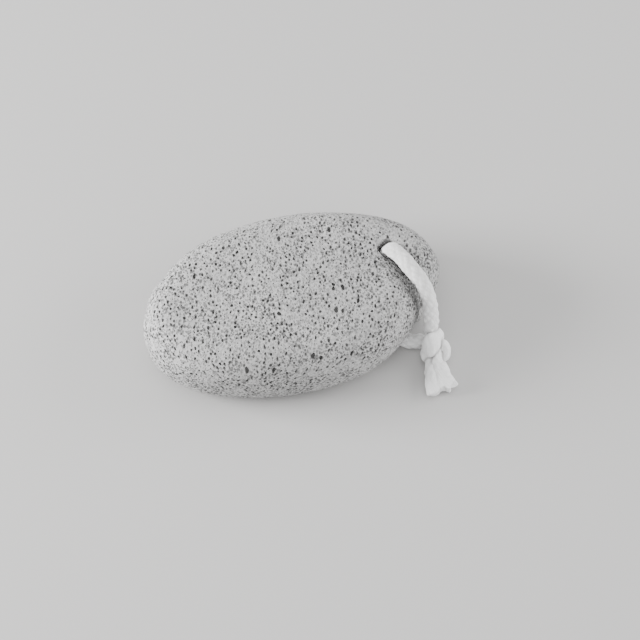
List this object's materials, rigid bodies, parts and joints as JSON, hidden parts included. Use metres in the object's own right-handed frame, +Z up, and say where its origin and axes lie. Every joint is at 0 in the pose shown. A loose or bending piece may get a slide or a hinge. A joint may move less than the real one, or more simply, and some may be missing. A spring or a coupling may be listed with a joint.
{
  "type": "pumice stone",
  "caption": "Oval grey pumice stone with rounded edges, a rope hole and side notch at one end, and a knotted white cotton cord loop.",
  "frame": {"origin": "centre of the stone's footprint on the surface it lies on", "axes": "+X along the stone's length, towards the end with the cord; +Z up through its thickness"},
  "size_m": [0.0951, 0.0661, 0.0284],
  "materials": {
    "pumice": "matte light grey, full of small dark open pores",
    "cotton": "soft white braided cotton"
  },
  "bodies": {
    "root": {"stone": "pumice", "cord": "cotton", "knot": "cotton"}
  },
  "joints": []
}
